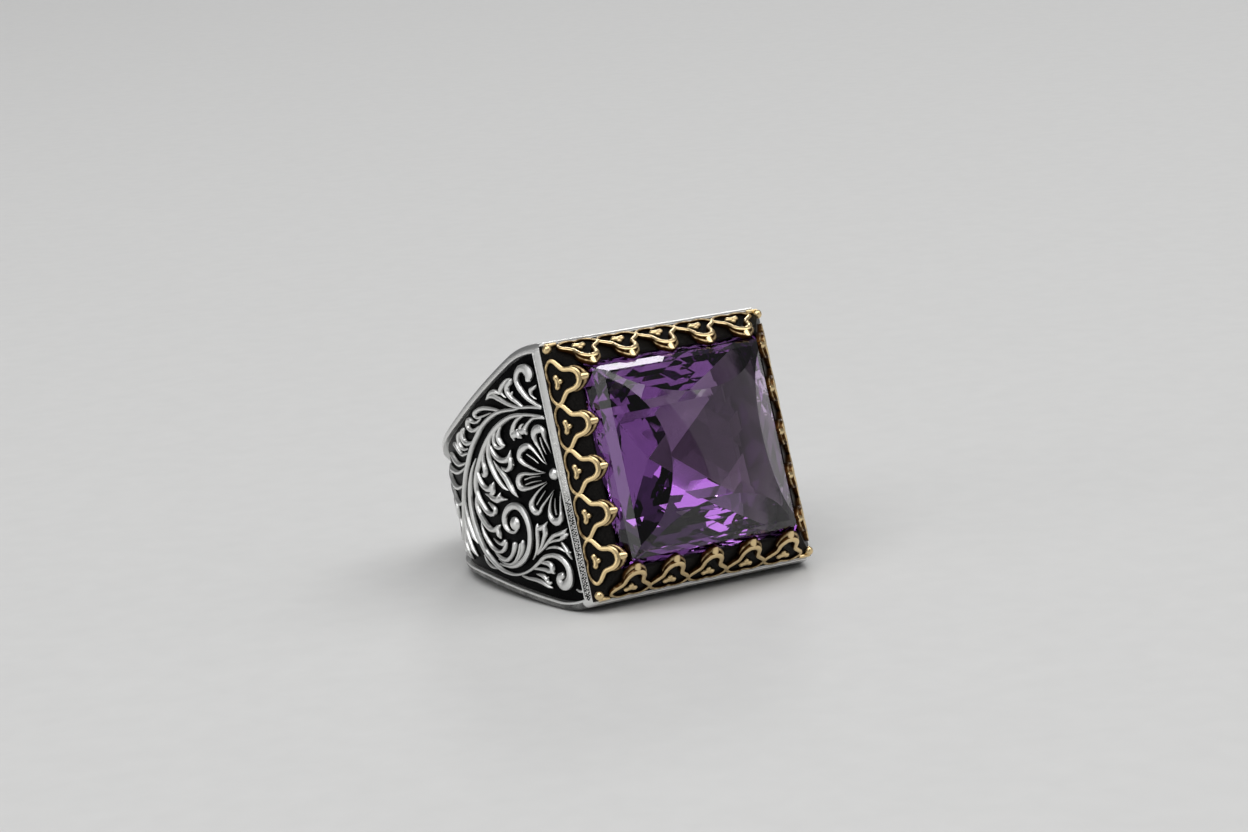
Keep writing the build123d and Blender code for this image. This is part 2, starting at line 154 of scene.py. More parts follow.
# ---- Scrollwork of the left shoulder ----
# Each stroke is a row of (down from the rim, along the finger, half width), in millimetres.
SCROLL = [
    # hooked tendril in the upper corner, and the leaf beside it
    [(1.25, 5.57, .1), (1.77, 5.93, .12), (2.42, 6.45, .14), (2.94, 7.1, .18), (3.3, 7.8, .2),
     (3.33, 8.26, .2), (3.05, 8.72, .2), (2.55, 8.95, .25), (2, 8.72, .36), (1.83, 8.32, .42),
     (1.95, 8.05, .25)],
    [(1.3, 5.55, .12), (2.5, 5.82, .11), (3.8, 6.05, .11), (4.9, 6.5, .13), (6, 7.15, .15),
     (6.7, 7.5, .16), (7.7, 7.38, .05)],
    [(7.5, 7.42, .08), (6.9, 7.72, .15), (6.3, 7.78, .16), (5.9, 7.6, .1), (5.55, 7.42, .05)],
    [(3.3, 5.98, .09), (3.8, 6.45, .13), (4.4, 6.95, .15), (4.7, 7.45, .17), (4.6, 7.9, .2),
     (4.2, 8.15, .2), (3.85, 8.32, .06)],
    [(3.9, 8.35, .05), (4.4, 8.42, .08), (4.85, 8.22, .14), (5.3, 7.95, .16), (5.55, 7.65, .14),
     (5.4, 7.35, .08), (5.1, 7.05, .04)],
    [(4.55, 7.3, .1), (4.3, 7.2, .1), (4.15, 7.4, .04)],
    [(1.3, 7.38, .04), (1.55, 7.2, .12), (1.9, 7.12, .15), (2.05, 6.85, .1), (1.9, 6.5, .06),
     (1.62, 6.28, .03)],
    # outer stem, down the shoulder and into the volute near the palm
    [(3.4, 6, .08), (4.5, 5.98, .1), (5.5, 6.1, .13), (6.5, 6.1, .14), (7.5, 5.92, .15),
     (8.3, 5.68, .16), (9.1, 5.35, .16), (10, 4.8, .17), (10.8, 4.3, .17), (11.6, 3.68, .18),
     (12.3, 3, .18), (13, 2.3, .17), (13.75, 1.4, .16), (14.4, .6, .16), (15.2, -.5, .17),
     (16.2, -1.7, .18), (17.4, -2.6, .19), (18.7, -2.8, .2), (19.8, -2.2, .2), (20.35, -1.1, .2),
     (20.1, 0, .2), (19.2, .55, .19), (18.3, .3, .17), (18, -.5, .14), (18.4, -1.05, .1)],
    # second stem, round the foot of the field and into the lower corner's volute
    [(11, 3.1, .05), (11.9, 2.35, .1), (12.5, 1.6, .13), (12.95, .85, .17), (13.3, 0, .21),
     (13.48, -.9, .23), (13.45, -1.8, .23), (13.25, -2.75, .22), (12.9, -3.7, .21),
     (12.4, -4.5, .19), (11.8, -5.1, .18), (11.2, -5.6, .16), (10.5, -6.1, .14), (9.6, -6.5, .12),
     (8.7, -6.75, .1), (7.7, -6.8, .09), (6.6, -6.68, .1), (6, -6.52, .11), (5.4, -6.3, .12),
     (4.43, -5.93, .14), (3.78, -5.9, .15), (3.26, -5.97, .16), (2.6, -6.3, .19), (2.2, -6.7, .21),
     (1.95, -7.25, .24), (1.97, -7.8, .28), (2.3, -8.3, .36), (2.9, -8.45, .3), (3.25, -8.05, .27),
     (3.1, -7.7, .24), (2.85, -7.65, .24)],
    # inner stem and its curled leaves
    [(1.3, 4.8, .09), (2.4, 5.15, .1), (3.4, 5.36, .12), (4.7, 5.5, .15), (6, 5.3, .18),
     (7.2, 4.92, .2), (8.3, 4.4, .18), (9.5, 3.6, .18), (10.5, 2.7, .2), (11.3, 1.9, .16),
     (11.85, .9, .16), (11.75, 0, .17), (11.3, -.8, .17), (10.7, -1.45, .15), (10, -1.6, .15),
     (9.6, -1.4, .14), (9.9, -1, .12), (10.5, -.6, .05)],
    [(12, .4, .06), (12.25, -.2, .12), (12.3, -.8, .17), (12.1, -1.4, .2), (11.7, -2, .22),
     (11.2, -2.55, .2), (10.6, -2.85, .15), (10.1, -2.85, .18), (9.75, -2.75, .18),
     (9.4, -2.6, .03)],
    [(9.9, -2.9, .22), (9.8, -3.3, .2), (9.75, -3.6, .08)],
    [(12.3, -1.9, .04), (12.3, -2.5, .08), (12.1, -3, .12), (11.7, -3.6, .13), (11.1, -4.3, .12),
     (10.5, -4.62, .11), (9.9, -4.68, .12), (9.3, -4.45, .14), (9.05, -4.15, .1)],
    [(10.9, -3.5, .04), (10.4, -3.85, .08), (9.9, -4.1, .1), (9.4, -4.1, .18), (9.15, -4, .15)],
    [(11.1, -4.5, .06), (10.6, -4.95, .1), (10, -5.3, .13), (9.4, -5.45, .14), (8.8, -5.3, .13),
     (8.3, -5, .14), (8, -4.65, .17), (7.85, -4.4, .18)],
    [(10.8, -5.2, .04), (10, -5.62, .07), (9.2, -5.85, .08), (8.5, -5.75, .08), (7.9, -5.4, .09),
     (7.45, -4.95, .1), (7.2, -4.5, .08)],
    [(8.9, -5.9, .04), (8.2, -5.75, .07), (7.5, -5.4, .1), (7.05, -5.05, .13), (6.85, -4.7, .16),
     (6.75, -4.35, .13), (6.72, -4.2, .06)],
    # great volute under the flower
    [(10.7, -5.6, .06), (9.9, -5.85, .09), (8.9, -6.05, .13), (8, -6.03, .17), (7.2, -5.8, .19),
     (6.5, -5.4, .2), (6, -4.85, .2), (5.68, -4.2, .21), (5.52, -3.5, .22), (5.55, -2.9, .23),
     (5.8, -2.2, .24), (6.2, -1.68, .24), (6.8, -1.42, .24), (7.4, -1.42, .24), (8, -1.63, .23),
     (8.45, -2, .2), (8.65, -2.5, .17), (8.5, -3, .14), (8.1, -3.35, .1), (7.6, -3.45, .1),
     (7.2, -3.3, .08)],
    [(13.1, -4.6, .04), (12.7, -5.2, .08), (12, -5.7, .1), (11.2, -5.95, .06)],
    # leaves along the outer stem
    [(5.9, 6.12, .05), (6.6, 6.35, .1), (7.5, 6.62, .13), (8.4, 6.78, .15), (9.2, 6.72, .15),
     (9.75, 6.5, .13), (9.6, 6.25, .1), (9, 6.17, .09), (8.2, 6.2, .07), (7.4, 6.25, .04)],
    [(8.9, 5.55, .05), (9.6, 5.4, .11), (10.2, 5.28, .13), (10.8, 5.4, .14), (11.12, 5.75, .15),
     (11, 6.1, .17), (10.65, 6.2, .18), (10.3, 6, .12), (9.8, 5.86, .1), (9.3, 5.93, .08),
     (8.95, 6.08, .04)],
    [(10.86, 4.42, .1), (11.5, 4.39, .13), (12.07, 4.53, .17), (12.36, 4.89, .21),
     (12.36, 5.3, .22), (12.07, 5.6, .15), (11.93, 5.64, .1)],
    [(11.93, 4.03, .05), (12.64, 4.06, .1), (13.07, 4.39, .13), (13.2, 4.89, .15), (13, 5.39, .13),
     (12.7, 5.53, .05)],
    [(11.86, 3.6, .05), (12.5, 3.67, .1), (13, 3.67, .12), (13.4, 3.96, .14), (13.8, 4.46, .16),
     (14.14, 4.74, .14), (14.5, 4.8, .05)],
    [(12.5, 3, .05), (13.3, 2.95, .1), (14.1, 3, .15), (14.8, 3.4, .18), (15.4, 3.95, .16),
     (16, 4.2, .05)],
    [(12.9, 2.7, .05), (13.6, 2.5, .09), (14.5, 2.4, .13), (15.6, 2.6, .16), (16.5, 2.9, .15),
     (17.2, 3.4, .05)],
    [(14, 1.3, .06), (15, 1.2, .12), (16, 1.3, .16), (17, 1.75, .17), (17.9, 2.5, .14),
     (18.5, 3.3, .04)],
    [(15, .1, .06), (15.9, -.1, .12), (16.8, .15, .16), (17.6, .8, .17), (18.4, 1.7, .14),
     (19.3, 2.5, .04)],
    [(14.6, .3, .05), (14.7, -.8, .1), (14.6, -1.9, .16), (14.2, -2.9, .16), (13.7, -3.6, .05)],
    [(15.5, -.9, .05), (15.7, -1.9, .12), (15.6, -2.9, .17), (15.1, -3.9, .15), (14.4, -4.6, .04)],
    [(16.5, -2, .05), (17, -2.9, .1), (17, -3.6, .15), (16.5, -4.3, .12), (15.8, -4.7, .04)],
    [(18, -2.8, .05), (18.7, -3.4, .1), (18.9, -3.9, .13), (18.3, -4.3, .05)],
    [(20.3, -1.2, .05), (21.2, -2.2, .12), (21.7, -3, .05)],
    [(20.4, .2, .05), (21.1, .9, .12), (21.6, 1.8, .14), (21.5, 2.7, .05)],
    # leaves of the lower corner
    [(5.1, -6.3, .06), (4.6, -6.36, .12), (4.1, -6.5, .17), (3.8, -6.8, .2), (3.85, -7.15, .17),
     (3.7, -7.38, .05)],
    [(6.3, -6.62, .05), (5.4, -6.74, .1), (4.7, -6.9, .13), (4.2, -7.1, .14), (3.85, -7.15, .12)],
    [(5.96, -7.07, .04), (5.47, -7.2, .1), (5.02, -7.4, .14), (4.76, -7.65, .14),
     (4.7, -7.85, .12), (4.5, -8, .1), (4.24, -7.98, .05)],
    [(4.76, -7.6, .1), (4.5, -7.5, .03)],
    [(7.8, -6.97, .06), (7.03, -7.26, .1), (6.25, -7.46, .13), (5.6, -7.7, .14),
     (5.08, -7.98, .13), (4.7, -8.24, .11), (4.3, -8.43, .05)],
    [(6, -5.9, .04), (5.35, -5.45, .09), (4.95, -4.85, .12), (4.7, -4, .13), (4.55, -3.45, .12),
     (4.5, -3.2, .04)],
    [(4.5, -3.6, .12), (4.1, -3.62, .2), (3.7, -3.5, .12), (3.3, -3.25, .03)],
    [(3.75, -3.6, .17), (3.75, -4.1, .17), (4.05, -4.5, .13), (4.5, -5, .1), (5.2, -5.5, .06)],
    [(5.3, -5.6, .05), (4.3, -5.2, .1), (3.6, -4.8, .12), (2.9, -4.48, .13), (2.2, -4.4, .15),
     (1.7, -4.35, .15), (1.3, -4.13, .03)],
    [(1.35, -4.6, .1), (1.7, -4.65, .2), (2.2, -4.85, .1), (3, -4.85, .09), (3.7, -4.95, .05)],
    [(4.17, -5.38, .03), (3.65, -5.3, .08), (3, -5.35, .1), (2.55, -5.48, .1), (2.23, -5.7, .08),
     (1.97, -5.93, .03)],
    [(2.16, -5.12, .07), (1.9, -5.5, .11), (1.7, -5.9, .14), (1.54, -6.36, .08),
     (1.45, -6.6, .03)],
    [(1.7, -5.95, .1), (1.4, -6.03, .04)],
    [(1.64, -8.95, .06), (1.3, -9.15, .09), (1, -9.2, .09)],
    # curls between the inner stem and the flower
    [(2.9, 5.33, .05), (3.7, 5.28, .1), (4.4, 5.05, .13), (4.95, 4.6, .14), (5.22, 4.1, .14),
     (5.15, 3.6, .06)],
    [(4.95, 4.05, .22), (4.65, 4.05, .27), (4.4, 3.8, .15), (4.2, 3.62, .04)],
    [(4.7, 4.2, .15), (4.5, 4.42, .04)],
    [(1.2, 4.68, .08), (1.8, 4.85, .12), (2.4, 4.88, .11), (2.9, 4.72, .1), (3.35, 4.45, .13),
     (3.6, 4.15, .2), (3.5, 3.88, .1)],
    [(3.6, 4.15, .2), (3.95, 4.15, .22), (4.15, 4.35, .12), (3.95, 4.6, .09), (3.65, 4.68, .03)],
    [(7, 4.95, .06), (7.55, 4.5, .1), (7.8, 3.95, .12), (7.6, 3.5, .12), (7.1, 3.35, .11),
     (6.6, 3.4, .05)],
    [(6.2, 5.2, .05), (6.75, 4.75, .1), (7.05, 4.3, .15), (7, 3.85, .2), (6.75, 3.55, .14),
     (6.5, 3.4, .05)],
    [(8.4, 3.6, .12), (8.1, 3, .15), (7.6, 2.5, .17), (7, 2.3, .18), (6.5, 2.3, .2),
     (6.15, 2.5, .15), (5.92, 2.98, .03)],
    [(6.3, 2.4, .15), (6.1, 2.1, .22), (6.2, 1.75, .2), (6.7, 1.5, .15), (7.2, 1.6, .1),
     (7.6, 1.85, .04)],
    [(6.1, 1.9, .15), (5.85, 1.7, .03)],
    [(8.05, 4.5, .08), (8.6, 3.85, .13), (8.88, 3.1, .15), (8.85, 2.3, .16), (8.6, 1.5, .16),
     (8.2, .8, .14), (7.75, .25, .12), (7.3, -.1, .04)],
    [(8.5, 2.5, .04), (8, 1.85, .1), (7.5, 1.3, .15), (7.1, .75, .22), (6.85, .2, .22),
     (6.55, -.35, .14), (6.2, -.85, .03)],
    [(9.7, 3.3, .08), (9.9, 2.6, .13), (9.85, 2, .17), (9.95, 1.65, .17), (10.3, 1.55, .1),
     (10.6, 1.8, .04)],
    [(11.15, 2.2, .08), (11.08, 1.6, .14), (10.85, 1.05, .17), (10.45, .6, .17), (9.95, .4, .18),
     (9.5, .42, .24), (9.25, .6, .18), (9.08, .88, .03)],
    [(9.35, .5, .22), (9.4, .15, .18), (9.75, -.05, .1), (10.1, .05, .04)],
    [(10.7, .12, .05), (10.1, -.1, .1), (9.5, -.45, .16), (9, -.6, .22), (8.55, -.6, .2),
     (8.1, -.7, .1), (7.65, -.78, .03)],
    [(8.9, -.6, .18), (8.65, -.35, .14), (8.48, -.1, .03)],
]
# Petals of the half flower at the head's edge: each is one line out, round its tip and back.
# Below PETAL_FULL their half widths thin out by the power PETAL_TAPER.
PETAL_FULL = .25
PETAL_TAPER = 1.5
PETALS = [
    [(2.05, 1.1, .05), (2.4, 2.4, .1), (2.7, 3.25, .16), (2.62, 3.75, .25), (2.1, 4, .28),
     (1.6, 3.75, .22), (1.58, 3.2, .14), (1.45, 2.5, .09), (1.33, 1.9, .05)],
    [(2.35, .5, .05), (3.1, .8, .1), (4, 1.3, .13), (4.65, 1.75, .17), (4.9, 2.15, .2),
     (4.7, 2.6, .23), (4.2, 2.85, .25), (3.6, 2.9, .2), (3.25, 2.65, .15), (2.85, 2.1, .11),
     (2.45, 1.5, .08), (2.05, 1.1, .05)],
    [(2.5, .5, .05), (3.9, .68, .12), (4.9, .85, .16), (5.45, .68, .22), (5.65, .2, .25),
     (5.4, -.2, .22), (4.85, -.35, .16), (3.6, -.32, .12), (2.45, -.2, .05)],
    [(2.45, -.3, .05), (3.45, -.7, .1), (4.2, -1.15, .14), (4.65, -1.6, .2), (4.6, -2.05, .22),
     (4.2, -2.4, .2), (3.85, -2.35, .15), (3.55, -2.05, .13), (2.85, -1.6, .1), (1.85, -.95, .05)],
    [(2, -1.15, .05), (2.5, -1.85, .1), (2.75, -2.7, .16), (2.6, -3.2, .22), (2.07, -3.45, .26),
     (1.6, -3.2, .2), (1.5, -2.7, .13), (1.33, -1.85, .1), (1.18, -1.15, .05)],
]
PETAL_VEINS = [
    [(1.85, 1.9, .03), (2.05, 2.6, .05), (2.12, 3.3, .05)],
    [(2.9, 1.35, .03), (3.5, 1.9, .05), (4.05, 2.3, .05)],
    [(3, .35, .03), (4, .45, .05), (4.9, .4, .05)],
    [(3, 0, .03), (4, .05, .05), (4.9, 0, .05)],
    [(2.8, -.85, .03), (3.6, -1.4, .05), (4.1, -1.75, .05)],
    [(1.9, -1.6, .03), (2.1, -2.3, .05), (2.12, -2.9, .05)],
]
# Round bosses: (down, along, radius)
BOSSES = [(1.5, .25, .5), (7.4, -2.8, .6), (18.95, -.6, .42)]

# ---- Stone: rises are above the rim plane, insets are from the girdle ----
GIRDLE_RISE = 1.45
DOME_RISE = 6.91
DOME_RADIUS = 16.9
CROWN_STEPS = [              # (inset, rise) of a facet's lower edge, and its slope
    (0, 1.75, 1.25 / .45),
    (.45, 3.0, .83 / .55),
    (1.0, 3.83, math.tan(math.radians(41.4))),
]
GIRDLE_SLOPE = math.tan(math.radians(46))
CULET_RISE = -3.2
SEAT_GAP = .03               # air between the stone's underside and its seat
LATTICE = .9                 # side of a pavilion facet
CULET_SLOPE = .46            # slope of the pavilion at its centre
MAIN_SLOPE = .57             # and at the middle of a side
UNEVEN = .22                 # how far the lattice's corners stray upwards at the girdle
COLOUR_DEPTH = 28            # length of stone that gives a look through it the full colour

# ---- Gallery, on the collar's slope: (along, up, half width) ----
HEART = [                    # right half of the closed outline, from its notch to its tip
    (0, .31, .08), (.4, .22, .08), (1.0, .22, .085), (1.42, .35, .11), (1.72, .67, .15),
    (1.66, .95, .17), (1.28, 1.3, .185), (.9, 1.66, .195), (.81, 2.03, .205), (.73, 2.42, .22),
    (.44, 2.8, .235), (0, 2.92, .24),
]
TIP_RIM = [
    (-.9, 2.05, .06), (-.97, 2.35, .09), (-.84, 2.78, .13), (-.45, 3.2, .17), (0, 3.4, .2),
    (.45, 3.2, .17), (.84, 2.78, .13), (.97, 2.35, .09), (.9, 2.05, .06),
]
CLAW = [(0, 3.0, .24), (0, 3.14, .31), (0, 3.28, .33), (0, 3.4, .3)]
TREFOIL = [
    [(0, 1.0, .25), (.22, .95, .25), (.37, .9, .26)],
    [(0, 1.0, .25), (-.22, .95, .25), (-.37, .9, .26)],
    [(0, .95, .24), (0, 1.1, .24), (0, 1.2, .245)],
]
BAR = [(-.4, 0, .12), (0, 0, .15), (.4, 0, .12)]


# ---- Properties ----
def hex_colour(code):
    """Turns an sRGB hex code into the linear colour that shaders take."""
    channels = [int(code[i:i + 2], 16) / 255 for i in (0, 2, 4)]
    linear = [c / 12.92 if c <= 0.04045 else ((c + 0.055) / 1.055) ** 2.4 for c in channels]
    return (*linear, 1.0)


def colour_property(name, code, description):
    return FloatVectorProperty(name=name, description=description, size=4, min=0, max=1,
                               subtype="COLOR", default=hex_colour(code))


def length_property(name, millimetres, description):
    return FloatProperty(name=name, description=description, unit="LENGTH", subtype="DISTANCE",
                         precision=5, min=0, default=millimetres * MM)


class RingSizes(bpy.types.PropertyGroup):
    relief: length_property("Scroll relief", .42, "Height of the scrollwork above its field")
    breadth: FloatProperty(name="Scroll breadth", description="Widening of every stroke",
                           min=.5, max=2, default=1.3)
    side_round: length_property("Side rounding", .5, "Rounding of the band's long edges")
    edge: length_property("Edge softness", .08, "Width of the worn bevel on its other edges")
    heart_low: length_property("Heart, at its foot", .2, "Rise of a heart's wire at its lobes")
    heart_high: length_property("Heart, at its tip", .62, "Rise of a heart's wire at its tip")
    rim_rise: length_property("Second rim", .34, "Rise of the rim behind each heart's tip")
    trefoil_rise: length_property("Trefoil", .26, "Rise of the trefoil in each heart")
    bead: length_property("Corner bead", .38, "Radius of the bead on each hip of the collar")
    grain: length_property("Graining", .2, "Spacing of the punched grains along the rim")
    grain_seed: IntProperty(name="Grain pattern", description="Seed of the graining", default=7)


class RingColours(bpy.types.PropertyGroup):
    silver: colour_property("Silver", "ECECEA", "Polished sterling silver")
    oxide: colour_property("Oxide", "0B0B0C", "Silver sulphide left in the hollows")
    brass: colour_property("Brass", "E8CE9C", "Polished brass of the gallery")
    patina: colour_property("Patina", "462B11", "Brown patina in the gallery's hollows")
    stone: colour_property("Amethyst", "6A3884", "Colour that a long look into the stone leaves")
    floor: colour_property("Floor", "D6D6D5", "Studio floor")


# ---- Shared making ----
def add_node(tree, kind, inputs=None, **settings):
    """Adds a node, sets its properties, and links or fills its sockets."""
    node = tree.nodes.new(kind)
    for name, value in settings.items():
        setattr(node, name, value)
    for key, value in (inputs or {}).items():
        if isinstance(value, bpy.types.NodeSocket):
            tree.links.new(value, node.inputs[key])
        else:
            node.inputs[key].default_value = value
    return node


def end_in_shader(tree, inputs, volume=None):
    """Ends a material's tree in a Principled shader with these inputs."""
    ends = {"Surface": add_node(tree, "ShaderNodeBsdfPrincipled", inputs).outputs["BSDF"]}
    if volume is not None:
        ends["Volume"] = volume
    add_node(tree, "ShaderNodeOutputMaterial", ends)


def finish_piece(bm, name, node, slot, sharp=40.0):
    """Turns a bmesh in ring millimetres into a finished object that rides on the frame.

    Edges that turn by more than sharp, in degrees, stay crisp.
    """
    bmesh.ops.recalc_face_normals(bm, faces=bm.faces)
    bm.transform(REST)
    mesh = bpy.data.meshes.new(name)
    bm.to_mesh(mesh)
    bm.free()
    mesh.shade_smooth()
    mesh.set_sharp_from_angle(angle=math.radians(sharp))
    mesh.materials.append(material_for(slot))
    piece = bpy.data.objects.new(name, mesh)
    bpy.context.scene.collection.objects.link(piece)
    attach(piece, "root")
    if node:
        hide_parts(node)


def dress_node(node, slot):
    """Gives a carried-over CAD node its slot's material."""
    materials = frame["nodes"][node].data.materials
    materials.clear()
    materials.append(material_for(slot))


def copy_of_node(node):
    """A merged copy of a CAD node's mesh as a bmesh, in ring millimetres."""
    bm = bmesh.new()
    bm.from_mesh(frame["nodes"][node].data)
    bm.transform(REST.inverted())
    bmesh.ops.remove_doubles(bm, verts=bm.verts, dist=1e-4)
    return bm


def clamp(value):
    return min(1, max(0, value))


def new_part():
    """An empty bmesh whose vertices hold how polished they are, from 0 to 1."""
    bm = bmesh.new()
    bm.verts.layers.float.new("polish")
    return bm


TUBE_RESOLUTION = 4
TUBE_SIDES = 4 + 2 * TUBE_RESOLUTION
BLUNT = .085                 # ends with at least this half width are rounded off


def rounded_end(last, before):
    """Three more points, a quarter circle, that round off the blunt end of a stroke."""
    x, y, half = last
    heading = Vector((x - before[0], y - before[1])).normalized() * half
    return [(x + heading.x * f, y + heading.y * f, half * w)
            for f, w in ((.5, .87), (.87, .5), (1, .06))]


def sweep(bm, stroke, height, steps=4, closed=False):
    """Sweeps a closed ridge along a flat stroke and adds it to the bmesh.

    height(x, y, half, lift) gives a point's rise and polish, where lift runs from -1 at the
    underside to 1 at the crest.
    """
    points = list(stroke)
    if points[-1][2] >= BLUNT and not closed:
        points += rounded_end(points[-1], points[-2])
    if points[0][2] >= BLUNT and not closed:
        points = rounded_end(points[0], points[1])[::-1] + points
    curve = bpy.data.curves.new("stroke", "CURVE")
    curve.dimensions = "3D"
    curve.twist_mode = "Z_UP"
    curve.bevel_depth = 1
    curve.bevel_resolution = TUBE_RESOLUTION
    curve.use_fill_caps = True
    curve.resolution_u = steps
    spline = curve.splines.new("BEZIER")
    spline.bezier_points.add(len(points) - 1)
    spline.use_cyclic_u = closed
    for knot, (x, y, half) in zip(spline.bezier_points, points):
        knot.co = (x, y, 0)
        knot.radius = half
        knot.handle_left_type = knot.handle_right_type = "AUTO"
    holder = bpy.data.objects.new("stroke", curve)
    mesh = bpy.data.meshes.new_from_object(holder)
    part = bmesh.new()
    part.from_mesh(mesh)
    bpy.data.objects.remove(holder)
    bpy.data.curves.remove(curve)
    bpy.data.meshes.remove(mesh)
    polish = part.verts.layers.float.new("polish")
    verts = list(part.verts)
    for first in range(0, len(verts), TUBE_SIDES):
        ring = verts[first:first + TUBE_SIDES]
        half = max(max(v.co.z for v in ring), 1e-4)
        centre = sum((v.co for v in ring), Vector()) / len(ring)
        for v in ring:
            v.co.z, v[polish] = height(centre.x, centre.y, half, v.co.z / half)
    bmesh.ops.remove_doubles(part, verts=part.verts, dist=1e-5)
    merge_into(bm, part)


def merge_into(bm, part):
    """Adds one bmesh to another, with its polish layer."""
    mesh = bpy.data.meshes.new("part")
    part.to_mesh(mesh)
    part.free()
    bm.from_mesh(mesh)
    bpy.data.meshes.remove(mesh)


def boss(bm, x, y, radius, rise):
    """Adds a domed boss in flat coordinates, flattened to its rise above the metal."""
    part = new_part()
    bmesh.ops.create_uvsphere(part, u_segments=20, v_segments=12, radius=radius)
    polish = part.verts.layers.float["polish"]
    for v in part.verts:
        lift = v.co.z / radius
        v[polish] = clamp(lift * 1.6)
        v.co = (x + v.co.x, y + v.co.y, rise * lift if lift > 0 else SUNK * -lift)
    merge_into(bm, part)


def set_down(bm, place):
    """Moves flat coordinates on to the ring."""
    for v in bm.verts:
        v.co = place(*v.co)


# ---- Materials ----
def silver_material(tree, colours):
    """Sterling silver, cast, dipped black and polished back: bright crests, black hollows."""
    place = add_node(tree, "ShaderNodeTexCoord").outputs["Object"]
    polish = add_node(tree, "ShaderNodeAttribute", attribute_name="polish").outputs["Fac"]
    # grit of 0.12 mm, the skin of the casting
    grit = add_node(tree, "ShaderNodeTexNoise", {
        "Vector": place, "Scale": 1 / (.12 * MM), "Detail": 2.0, "Roughness": .6}).outputs["Fac"]
    # patches of wear 1.5 mm across: with the grit they fray the edge of the polish
    wear = add_node(tree, "ShaderNodeTexNoise", {
        "Vector": place, "Scale": 1 / (1.5 * MM), "Detail": 3.0}).outputs["Fac"]
    gritty = add_node(tree, "ShaderNodeMath", {0: grit, 1: .14, 2: -.07},
                      operation="MULTIPLY_ADD").outputs[0]
    worn = add_node(tree, "ShaderNodeMath", {0: wear, 1: .2, 2: gritty},
                    operation="MULTIPLY_ADD").outputs[0]
    level = add_node(tree, "ShaderNodeMath", {0: polish, 1: worn}, operation="ADD").outputs[0]
    bare = add_node(tree, "ShaderNodeMapRange", {"Value": level, "From Min": .3, "From Max": .62},
                    interpolation_type="SMOOTHSTEP").outputs["Result"]
    mix = add_node(tree, "ShaderNodeMix", {
        "Factor": bare, "A": colours.oxide, "B": colours.silver}, data_type="RGBA")
    # painted shade: grey inside the bore, standing for shade there; and smooth where the finger
    # rubs
    smooth_and_painted_shade = add_node(tree, "ShaderNodeAttribute", attribute_name="smooth_and_painted_shade").outputs["Fac"]
    tone = add_node(tree, "ShaderNodeMix", {
        "Factor": smooth_and_painted_shade, "A": mix.outputs["Result"], "B": hex_colour("8C8986")}, data_type="RGBA")
    rough = add_node(tree, "ShaderNodeMapRange", {"Value": bare, "To Min": .5, "To Max": .34})
    skin = add_node(tree, "ShaderNodeMath", {0: smooth_and_painted_shade, 1: -.9, 2: .9}, operation="MULTIPLY_ADD")
    bump = add_node(tree, "ShaderNodeBump", {
        "Height": grit, "Distance": .03 * MM, "Strength": skin.outputs[0]})
    end_in_shader(tree, {
        "Base Color": tone.outputs["Result"], "Metallic": 1.0,
        "Roughness": rough.outputs["Result"], "Normal": bump.outputs["Normal"]})


def oxide_material(tree, colours):
    """Silver left black by the sulphur bath, unpolished: matt with a faint metallic sheen."""
    place = add_node(tree, "ShaderNodeTexCoord").outputs["Object"]
    grain = add_node(tree, "ShaderNodeTexNoise", {
        "Vector": place, "Scale": 1 / (.15 * MM), "Detail": 2.0}).outputs["Fac"]
    tone = add_node(tree, "ShaderNodeMix", {
        "Factor": grain, "A": colours.oxide, "B": hex_colour("2A2826")}, data_type="RGBA")
    bump = add_node(tree, "ShaderNodeBump", {
        "Height": grain, "Distance": .02 * MM, "Strength": .5})
    end_in_shader(tree, {
        "Base Color": tone.outputs["Result"], "Metallic": 1.0, "Roughness": .42,
        "Normal": bump.outputs["Normal"]})


def bearing_material(tree, colours):
    """Sterling silver as soldered, greyed by the sulphur bath in patches of 0.2 mm."""
    place = add_node(tree, "ShaderNodeTexCoord").outputs["Object"]
    patches = add_node(tree, "ShaderNodeTexNoise", {
        "Vector": place, "Scale": 1 / (.2 * MM), "Detail": 3.0}).outputs["Fac"]
    tone = add_node(tree, "ShaderNodeMix", {
        "Factor": patches, "A": hex_colour("4A4846"), "B": hex_colour("242322")},
        data_type="RGBA")
    end_in_shader(tree, {
        "Base Color": tone.outputs["Result"], "Metallic": 1.0, "Roughness": .4})


def brass_material(tree, colours):
    """Cast brass, brushed over its brown patina: golden crests, brown walls and feet."""
    place = add_node(tree, "ShaderNodeTexCoord").outputs["Object"]
    polish = add_node(tree, "ShaderNodeAttribute", attribute_name="polish").outputs["Fac"]
    # blotches of the patina, 0.4 mm across
    blotch = add_node(tree, "ShaderNodeTexNoise", {
        "Vector": place, "Scale": 1 / (.4 * MM), "Detail": 3.0}).outputs["Fac"]
    level = add_node(tree, "ShaderNodeMath", {0: blotch, 1: polish}, operation="ADD").outputs[0]
    bare = add_node(tree, "ShaderNodeMapRange", {"Value": level, "From Min": .7, "From Max": 1.4},
                    interpolation_type="SMOOTHSTEP").outputs["Result"]
    mix = add_node(tree, "ShaderNodeMix", {
        "Factor": bare, "A": colours.patina, "B": colours.brass}, data_type="RGBA")
    rough = add_node(tree, "ShaderNodeMapRange", {"Value": bare, "To Min": .45, "To Max": .3})
    # casting skin, pits of 0.1 mm
    skin = add_node(tree, "ShaderNodeTexNoise", {
        "Vector": place, "Scale": 1 / (.1 * MM), "Detail": 2.0}).outputs["Fac"]
    bump = add_node(tree, "ShaderNodeBump", {
        "Height": skin, "Distance": .015 * MM, "Strength": .35})
    end_in_shader(tree, {
        "Base Color": mix.outputs["Result"], "Metallic": 1.0,
        "Roughness": rough.outputs["Result"], "Normal": bump.outputs["Normal"]})


